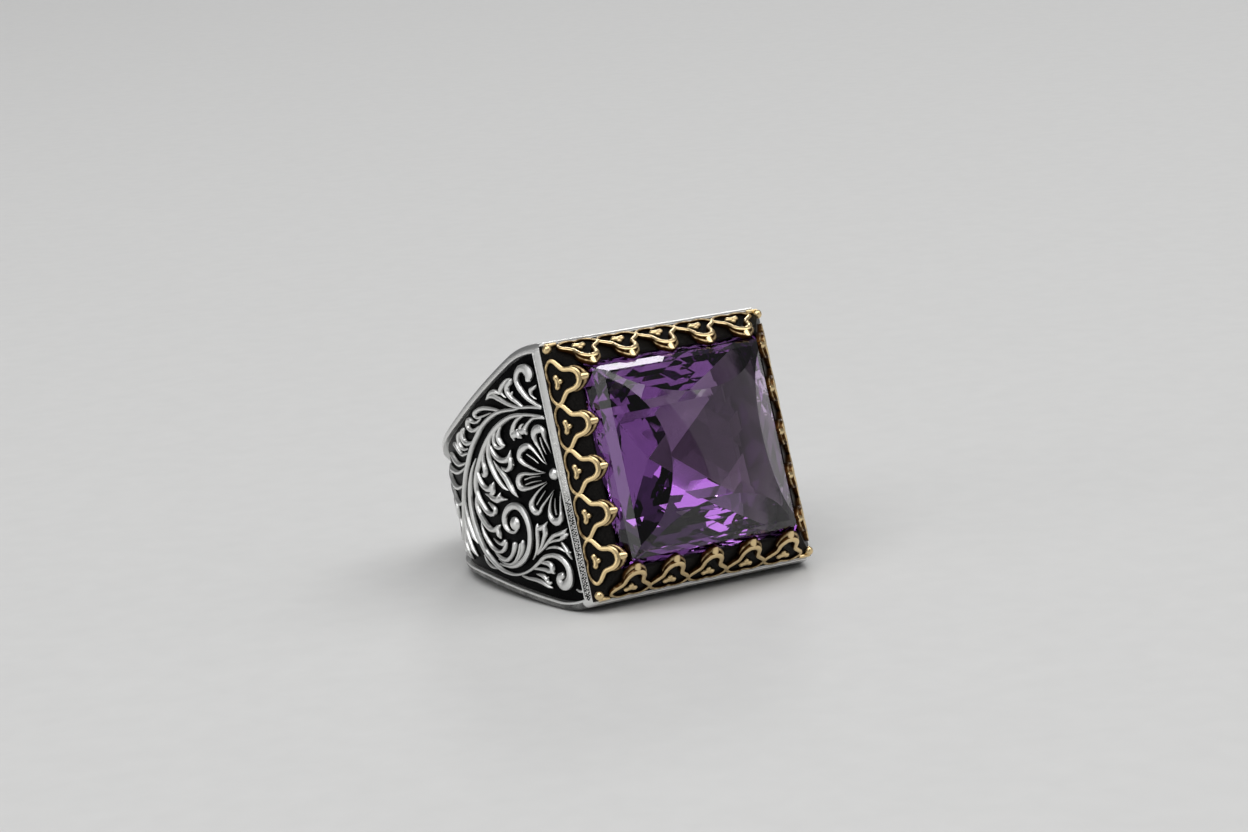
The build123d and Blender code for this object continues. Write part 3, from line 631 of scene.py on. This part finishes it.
def amethyst_material(tree, colours):
    """Amethyst, a violet quartz, cut and polished: clear, with its colour in its depth."""
    colour, density = absorption(colours.stone, COLOUR_DEPTH * MM)
    depth = add_node(tree, "ShaderNodeVolumeAbsorption", {"Color": colour, "Density": density})
    end_in_shader(tree, {
        "Base Color": hex_colour("F2E9F8"), "Roughness": 0.0, "IOR": 1.544,
        "Transmission Weight": 1.0}, depth.outputs["Volume"])


def absorption(colour, depth):
    """The absorption colour and density that leave the given colour after the given depth."""
    rates = [-math.log(max(c, .005)) / depth for c in colour[:3]]
    density = max(rates)
    return (*(1 - rate / density for rate in rates), 1.0), density


def paper_material(tree, colours):
    """Matt paper, its tone uneven by a shade where the fibres lie thicker."""
    place = add_node(tree, "ShaderNodeTexCoord").outputs["Object"]
    fibre = add_node(tree, "ShaderNodeTexNoise", {"Vector": place, "Scale": 1 / (2.5 * MM)})
    tone = add_node(tree, "ShaderNodeMix", {
        "Factor": fibre.outputs["Fac"], "A": colours.floor, "B": hex_colour("D0D0CF")},
        data_type="RGBA")
    end_in_shader(tree, {"Base Color": tone.outputs["Result"], "Roughness": .9})


MATERIALS = {                # by slot: the name, and what fills the node tree
    "silver": ("Oxidised and polished sterling silver", silver_material),
    "oxidised_silver": ("Black oxidised silver", oxide_material),
    "bearing_silver": ("Plain silver, as soldered", bearing_material),
    "gallery_brass": ("Patinated brass", brass_material),
    "amethyst": ("Amethyst", amethyst_material),
    "floor": ("Matt studio paper", paper_material),
}


def material_for(slot):
    """The finished material of a slot, made on first use."""
    name, fill = MATERIALS[slot]
    material = bpy.data.materials.get(name)
    if material is None:
        material = bpy.data.materials.new(name)
        material.use_nodes = True
        material.node_tree.nodes.clear()
        fill(material.node_tree, bpy.context.scene.ring_colours)
    return material


# ---- Operators ----
class Undoable:
    """What every step shares: it can be undone"""

    bl_options = {"REGISTER", "UNDO"}


class RING_OT_stage(Undoable, bpy.types.Operator):
    """Sets the floor, the soft lamps, the world and the camera"""

    bl_idname = "ring.stage"
    bl_label = "Stage"

    FLOOR_HALF = 3
    LAMPS = {                # place, side of its square and power in watts
        "key_lamp": ((.81, -.51, 1.68), 1.32, 12),
        "soft_lamp": ((-.75, -.66, 1.68), 1.8, 26),
        "fill_lamp": ((1.5, -1.35, .9), 2.4, 8),
        "side_lamp": ((-1.8, -.06, .42), .9, 3.6),
        "back_lamp": ((.9, 1.38, .78), .3, 4),
        "glint_lamp": ((.86, 1.12, 1.12), .12, .27),
    }

    def execute(self, context):
        scene = context.scene
        scene.view_settings.view_transform = "Standard"
        self.floor(scene)
        for name, (place, size, power) in self.LAMPS.items():
            lamp = bpy.data.lights.new(name, "AREA")
            lamp.shape, lamp.size, lamp.energy = "SQUARE", size, power
            self.aim(lamp, Vector(place))
        scene.world = bpy.data.worlds.new("studio_world")
        scene.world.use_nodes = True
        background = scene.world.node_tree.nodes["Background"]
        background.inputs["Color"].default_value = hex_colour("C8C8CA")
        background.inputs["Strength"].default_value = .24
        scene.camera = self.camera()
        return {"FINISHED"}

    def floor(self, scene):
        bm = bmesh.new()
        bmesh.ops.create_grid(bm, x_segments=1, y_segments=1, size=self.FLOOR_HALF)
        bmesh.ops.translate(bm, verts=bm.verts, vec=(0, 0, cad_box[0].z))
        mesh = bpy.data.meshes.new("studio_floor")
        bm.to_mesh(mesh)
        bm.free()
        mesh.materials.append(material_for("floor"))
        floor = bpy.data.objects.new("studio_floor", mesh)
        scene.collection.objects.link(floor)

    @staticmethod
    def aim(data, place, at=Vector(), roll=0.0):
        """Stands a lamp or camera at a place, looking at a point."""
        look = (at - place).to_track_quat("-Z", "Y").to_matrix() @ Matrix.Rotation(roll, 3, "Z")
        holder = bpy.data.objects.new(data.name, data)
        holder.matrix_world = Matrix.Translation(place) @ look.to_4x4()
        bpy.context.scene.collection.objects.link(holder)
        return holder

    def camera(self):
        """The camera, by its turn about the ring, its height and its roll, in degrees."""
        data = bpy.data.cameras.new("camera")
        data.lens = 92.3
        data.clip_start, data.clip_end = .01, 20
        azimuth, elevation, roll = map(math.radians, (-30.04, 11.97, -3.575))
        at, distance = Vector((.00273, -.00043, .00471)), .2662
        back = Vector((math.sin(azimuth) * math.cos(elevation),
                       -math.cos(azimuth) * math.cos(elevation), math.sin(elevation)))
        return self.aim(data, at + back * distance, at, roll)


class RING_OT_shank(Undoable, bpy.types.Operator):
    """Makes the silver shank with softened edges and black hollows"""

    bl_idname = "ring.shank"
    bl_label = "Shank"

    BORE_EDGE = BORE_RADIUS + .1     # the bore's softened edges lie within this
    RIM_BAND = .6                    # height of the bright band under the rim
    PAINTED_SHADE_POLISH = .3                     # how polished the side is on which the ring lies, lowered as painted shade
    WINDOW_FOOT = 8                  # height from which the window's walls are black
    DULL_START, DULL_RUN = 2, 4.5    # height from the bore's axis over which painted shade turns it grey

    def execute(self, context):
        sizes = context.scene.ring_sizes
        bm = copy_of_node("shank")
        bmesh.ops.dissolve_limit(bm, angle_limit=math.radians(1.0), verts=bm.verts,
                                 edges=bm.edges)
        self.soften(bm, [e for e in bm.edges if self.is_side_edge(e)], sizes.side_round / MM, 5)
        self.soften(bm, [e for e in bm.edges if self.is_sharp(e)], sizes.edge / MM, 3)
        bmesh.ops.triangulate(bm, faces=[f for f in bm.faces if len(f.verts) > 4])
        polish = bm.verts.layers.float.new("polish")
        smooth_and_painted_shade = bm.verts.layers.float.new("smooth_and_painted_shade")
        bm.normal_update()
        for v in bm.verts:
            v[polish] = self.polish_at(v)
            # painted shade: the bore turns grey towards its top and bottom
            if math.hypot(v.co.x, v.co.z) < self.BORE_EDGE:
                v[smooth_and_painted_shade] = clamp((abs(v.co.z) - self.DULL_START) / self.DULL_RUN)
        finish_piece(bm, "shank_silver", "shank", "silver", sharp=30)
        return {"FINISHED"}

    @staticmethod
    def soften(bm, edges, width, segments):
        bmesh.ops.bevel(bm, geom=edges, offset=width, offset_type="OFFSET", segments=segments,
                        profile=0.5, affect="EDGES", clamp_overlap=True, material=-1)

    @staticmethod
    def is_sharp(edge):
        return len(edge.link_faces) == 2 and edge.calc_face_angle() > math.radians(25)

    def is_side_edge(self, edge):
        """A long edge between the band's outside or bore and one of its two sides."""
        middle = (edge.verts[0].co + edge.verts[1].co) / 2
        outward = any(f.normal.y * middle.y > .5 * abs(middle.y) for f in edge.link_faces)
        return self.is_sharp(edge) and outward and middle.z < RIM_HEIGHT - .01

    def polish_at(self, vertex):
        """Black in the window and on the floors of the shoulders' fields, darkened by painted
        shade on the side on which the ring lies, else bright.
        """
        co, facing = vertex.co, vertex.normal.y
        x, from_axis = abs(co.x), math.hypot(co.x, co.z)
        in_window = max(x, abs(co.y)) < WINDOW_HALF and co.z > self.WINDOW_FOOT
        if in_window and from_axis > BORE_RADIUS + .05:
            return 0.0
        if from_axis < self.BORE_EDGE:
            return 1.0
        # painted shade: the side towards the floor is darkened by lowering its polish
        if co.y < 0 and facing < -.05 and co.z < RIM_HEIGHT - self.RIM_BAND:
            return self.PAINTED_SHADE_POLISH
        if co.z > RIM_HEIGHT - self.RIM_BAND or abs(facing) > .8:
            return 1.0
        if co.z > BAND_CENTRE:
            depth = FLARE_RADIUS - math.hypot(x - BAND_RADIUS + FLARE_RADIUS,
                                              co.z - BAND_CENTRE)
        else:
            depth = BAND_RADIUS - math.hypot(x, co.z - BAND_CENTRE)
        if depth > PANEL_DEPTH + .15:        # deeper than the fields: the band's sides
            return 1.0
        return clamp((PANEL_DEPTH - .05 - depth) / .25)


class RING_OT_scrollwork(Undoable, bpy.types.Operator):
    """Makes the raised scrollwork of both shoulders"""

    bl_idname = "ring.scrollwork"
    bl_label = "Scrollwork"

    FULL_HALF = .15          # half width from which a stroke has its full relief

    def execute(self, context):
        sizes = context.scene.ring_sizes
        top, breadth = sizes.relief / MM, sizes.breadth

        def height(x, y, half, lift):
            if lift <= .01:
                return SUNK, 0.0
            share = min(1, (half / breadth / self.FULL_HALF) ** .6)
            return top * share * lift ** .47, share * min(1, .14 + 1.1 * lift)

        petals = [[(x, y, PETAL_FULL * (half / PETAL_FULL) ** PETAL_TAPER)
                   for x, y, half in petal] for petal in PETALS]
        for name, side in (("left", -1), ("right", 1)):
            bm = new_part()
            for stroke in SCROLL + petals + PETAL_VEINS:
                sweep(bm, [(x, y, half * breadth) for x, y, half in stroke], height)
            for x, y, radius in BOSSES:
                boss(bm, x, y, radius, top)
            bmesh.ops.translate(bm, verts=bm.verts, vec=(0, 0, -PANEL_DEPTH))
            set_down(bm, on_shoulder(side))
            finish_piece(bm, f"shoulder_scroll_{name}", None, "silver")
        return {"FINISHED"}


class RING_OT_rim(Undoable, bpy.types.Operator):
    """Makes the graining and the fine lines along the rim of the head"""

    bl_idname = "ring.rim"
    bl_label = "Rim"

    ROWS, ROW_PITCH = 3, .17
    REACH = 9.9              # half length of the grained border
    WORN_FROM = 2.5          # along the border, where the grains have been polished away

    def execute(self, context):
        sizes = context.scene.ring_sizes
        rng = random.Random(sizes.grain_seed)
        pitch = sizes.grain / MM
        bm = new_part()
        polish = bm.verts.layers.float["polish"]
        shoulders = [on_shoulder(side) for side in (-1, 1)]
        for place in shoulders:
            for row in range(self.ROWS):
                for i in range(int(2 * self.REACH / pitch)):
                    down = .14 + self.ROW_PITCH * row + rng.uniform(-.035, .035)
                    along = -self.REACH + (i + .5 * (row % 2) + rng.uniform(-.2, .2)) * pitch
                    size = rng.uniform(.07, .1)
                    if along > self.WORN_FROM + rng.uniform(-1.5, 1.5):
                        continue
                    grain = bmesh.ops.create_icosphere(bm, subdivisions=1, radius=size)
                    centre = place(down, along, .01)
                    for v in grain["verts"]:
                        v.co += centre
                        v[polish] = 1.0
        flanks = [on_flank(side) for side in (-1, 1)]
        self.line(bm, shoulders, .31, .29, .012, lambda y: clamp((y + 4) / 6))
        self.line(bm, shoulders, .68, .085, .075)
        self.line(bm, flanks, .1, .07, .08)
        self.line(bm, flanks, -.04, .04, .05)
        finish_piece(bm, "rim_graining", None, "silver")
        return {"FINISHED"}

    @staticmethod
    def line(bm, places, down, half, rise, polish=lambda y: 1.0):
        """A straight ridge along two opposite sides of the head."""

        def height(x, y, half, lift):
            return (rise * lift if lift > 0 else -.05), polish(y)

        for place in places:
            part = new_part()
            sweep(part, [(down, y, half) for y in (-9.7, -5, 0, 5, 9.7)], height, steps=12)
            set_down(part, place)
            merge_into(bm, part)


class RING_OT_collar(Undoable, bpy.types.Operator):
    """Finishes the blackened collar and the plain bearing under the stone"""

    bl_idname = "ring.collar"
    bl_label = "Collar and bearing"

    def execute(self, context):
        dress_node("bezel_collar", "oxidised_silver")
        dress_node("stone_bearing", "bearing_silver")
        return {"FINISHED"}


class RING_OT_stone(Undoable, bpy.types.Operator):
    """Makes the faceted, domed square amethyst"""

    bl_idname = "ring.stone"
    bl_label = "Stone"

    def execute(self, context):
        bm = bmesh.new()
        bmesh.ops.create_icosphere(bm, subdivisions=7, radius=DOME_RADIUS)
        bmesh.ops.translate(bm, verts=bm.verts,
                            vec=(0, 0, RIM_HEIGHT + DOME_RISE - DOME_RADIUS))
        for point, normal in self.crown() + self.pavilion():
            cut = bmesh.ops.bisect_plane(bm, geom=bm.verts[:] + bm.edges[:] + bm.faces[:],
                                         plane_co=point, plane_no=normal, dist=1e-5,
                                         clear_outer=True)
            rim = [g for g in cut["geom_cut"] if isinstance(g, bmesh.types.BMEdge)]
            if rim:
                bmesh.ops.edgeloop_fill(bm, edges=rim)
        self.unsettle(bm)
        finish_piece(bm, "stone_amethyst", "stone", "amethyst", sharp=2.5)
        return {"FINISHED"}

    @staticmethod
    def unsettle(bm):
        """Turns each pavilion diamond into two triangles that lean a little, as cut by hand."""
        rng = random.Random(11)
        bm.normal_update()
        below = [f for f in bm.faces if f.normal.z < -.75]
        for v in bm.verts:
            if v.link_faces and all(f.normal.z < -.75 for f in v.link_faces):
                v.co.z += rng.uniform(0, UNEVEN) * min(1, v.co.xy.length / STONE_HALF)
        bmesh.ops.triangulate(bm, faces=below)

    @staticmethod
    def facet(azimuth, half, rise, slope):
        """A facet's plane: slope is its tangent, positive on the crown, from level."""
        out = Vector((math.cos(azimuth), math.sin(azimuth), 0))
        normal = out * abs(slope) + Vector((0, 0, 1 if slope > 0 else -1))
        return out * half + Vector((0, 0, RIM_HEIGHT + rise)), normal.normalized()

    def crown(self):
        planes = []
        for azimuth in map(math.radians, SIDES.values()):
            out = Vector((math.cos(azimuth), math.sin(azimuth), 0))
            planes.append((out * STONE_HALF, out))
            planes.append(self.facet(azimuth, STONE_HALF, GIRDLE_RISE + SEAT_GAP,
                                     -GIRDLE_SLOPE))
            for inset, rise, slope in CROWN_STEPS:
                planes.append(self.facet(azimuth, STONE_HALF - inset, rise, slope))
        return planes

    @staticmethod
    def pavilion():
        """A lattice of diamond facets that steepens outwards along both diagonals."""
        reach = 2 * STONE_HALF
        step = LATTICE * math.sqrt(2)
        rows = []            # of each row along a diagonal: its slope and where it passes zero
        rise, start = 0.0, 0.0
        while start < reach:
            middle = start + step / 2
            slope = (CULET_SLOPE + (MAIN_SLOPE - CULET_SLOPE) * middle / STONE_HALF) / 2
            rows.append((slope, rise - slope * start))
            rise += slope * step
            start += step
        planes = []
        for i, (slope_a, zero_a) in enumerate(rows):
            for j, (slope_b, zero_b) in enumerate(rows):
                if (i + j) * step > reach:
                    continue
                for a in (-1, 1):
                    for b in (-1, 1):
                        # heights go as slope_a |x + y| + slope_b |x - y|
                        across = a * slope_a + b * slope_b
                        along = a * slope_a - b * slope_b
                        point = Vector((0, 0, RIM_HEIGHT + CULET_RISE + zero_a + zero_b))
                        planes.append((point, Vector((across, along, -1)).normalized()))
        return planes


class RING_OT_gallery(Undoable, bpy.types.Operator):
    """Makes the four strips of brass hearts with their claws"""

    bl_idname = "ring.gallery"
    bl_label = "Heart gallery"

    UNDER = -.04             # the wires' undersides, in the collar's metal
    TIP = 3.3                # from here up the claws leave the collar

    def execute(self, context):
        sizes = context.scene.ring_sizes
        low, high, rim = sizes.heart_low / MM, sizes.heart_high / MM, sizes.rim_rise / MM

        def wire(x, y, half, lift):
            if lift < -.01:
                return self.UNDER, .05
            crest = low + (high - low) * clamp((y - .4) / 2.3)
            worn = .55 + .45 * clamp(y - .25)
            return crest - .38 * half * (1 - lift), worn * min(1, .25 + 1.2 * lift)

        def low_rim(x, y, half, lift):
            if lift < -.01:
                return self.UNDER, 0.0
            crest = rim * (.75 + .25 * clamp((y - 1.7) / 1.3))
            return crest - half * (1 - lift), .6 * max(lift, 0)

        def claw(x, y, half, lift):
            crest = .62 - .35 * max(0, y - 3.0)
            foot = min(.12, self.UNDER + .5 * max(0, y - self.TIP))
            if lift < -.01:
                return min(foot, crest - .05), 0.0
            return max(crest - .8 * half * (1 - lift), foot + .02), min(1, .2 + lift)

        left = [(-x, y, half) for x, y, half in HEART[-2:0:-1]]
        for name, azimuth in SIDES.items():
            bm = new_part()
            for shift in HEART_SHIFTS:
                heart = new_part()
                sweep(heart, HEART + left, wire, closed=True)
                sweep(heart, TIP_RIM, low_rim)
                sweep(heart, CLAW, claw)
                bmesh.ops.translate(heart, verts=heart.verts, vec=(shift, 0, 0))
                merge_into(bm, heart)
            set_down(bm, on_slope(azimuth))
            finish_piece(bm, f"heart_strip_{name}", f"crown_strip_{name}", "gallery_brass")
        return {"FINISHED"}


class RING_OT_trefoils(Undoable, bpy.types.Operator):
    """Makes the trefoil that stands in each heart"""

    bl_idname = "ring.trefoils"
    bl_label = "Trefoils"

    def execute(self, context):
        rise = context.scene.ring_sizes.trefoil_rise / MM

        def height(x, y, half, lift):
            if lift <= .01:
                return SUNK, .1
            return rise * (half / .16) ** .5 * lift ** .5, min(1, .4 + lift)

        bm = new_part()
        for azimuth in SIDES.values():
            for shift in HEART_SHIFTS:
                part = new_part()
                for petal in TREFOIL:
                    sweep(part, petal, height)
                bmesh.ops.translate(part, verts=part.verts, vec=(shift, 0, 0))
                set_down(part, on_slope(azimuth))
                merge_into(bm, part)
        finish_piece(bm, "trefoils", "trefoil_studs", "gallery_brass", sharp=180)
        return {"FINISHED"}


class RING_OT_corners(Undoable, bpy.types.Operator):
    """Makes the bead on each hip of the collar and the bar beside it"""

    bl_idname = "ring.corners"
    bl_label = "Corner beads"

    UP = .62                 # of a bead's centre, along the collar's slope
    BAR_RISE = .3

    def execute(self, context):
        radius = context.scene.ring_sizes.bead / MM
        hip = COLLAR_HALF - self.UP * math.cos(SLOPE)

        def height(x, y, half, lift):
            if lift <= .01:
                return SUNK, .1
            return self.BAR_RISE * lift ** .5, min(1, .4 + lift)

        bm = new_part()
        polish = bm.verts.layers.float["polish"]
        for x in (-hip, hip):
            for y in (-hip, hip):
                bead = bmesh.ops.create_uvsphere(bm, u_segments=28, v_segments=18,
                                                 radius=radius)
                centre = Vector((x, y, RIM_HEIGHT + self.UP * math.sin(SLOPE)))
                for v in bead["verts"]:
                    v[polish] = clamp(.75 + v.co.z / radius)
                    v.co += centre
        for azimuth in (SIDES["top"], SIDES["bottom"]):
            for way in (-1, 1):
                part = new_part()
                sweep(part, BAR, height)
                bmesh.ops.translate(part, verts=part.verts, vec=(way * (hip - .42), .3, 0))
                set_down(part, on_slope(azimuth))
                merge_into(bm, part)
        finish_piece(bm, "corner_beads_and_bars", "corner_beads", "gallery_brass")
        return {"FINISHED"}


class RING_PT_panel(bpy.types.Panel):
    """Lists the ring's pieces and the sizes that shape them"""

    bl_idname = "RING_PT_panel"
    bl_label = "Cocktail Ring"
    bl_space_type = "VIEW_3D"
    bl_region_type = "UI"
    bl_category = "Ring"

    def draw(self, context):
        layout = self.layout
        for operator in OPERATORS:
            layout.operator(operator.bl_idname)
        for group in (context.scene.ring_sizes, context.scene.ring_colours):
            column = layout.column()
            for name in group.__annotations__:
                column.prop(group, name)


OPERATORS = (
    RING_OT_stage,
    RING_OT_shank,
    RING_OT_scrollwork,
    RING_OT_rim,
    RING_OT_collar,
    RING_OT_stone,
    RING_OT_gallery,
    RING_OT_trefoils,
    RING_OT_corners,
)
CLASSES = (RingSizes, RingColours, *OPERATORS, RING_PT_panel)


def register():
    for cls in CLASSES:
        bpy.utils.register_class(cls)
    bpy.types.Scene.ring_sizes = PointerProperty(type=RingSizes)
    bpy.types.Scene.ring_colours = PointerProperty(type=RingColours)


def unregister():
    del bpy.types.Scene.ring_colours
    del bpy.types.Scene.ring_sizes
    for cls in reversed(CLASSES):
        bpy.utils.unregister_class(cls)


def main():
    register()
    bpy.ops.ring.stage()
    bpy.ops.ring.shank()
    bpy.ops.ring.scrollwork()
    bpy.ops.ring.rim()
    bpy.ops.ring.collar()
    bpy.ops.ring.stone()
    bpy.ops.ring.gallery()
    bpy.ops.ring.trefoils()
    bpy.ops.ring.corners()


if __name__ == "__main__":
    main()
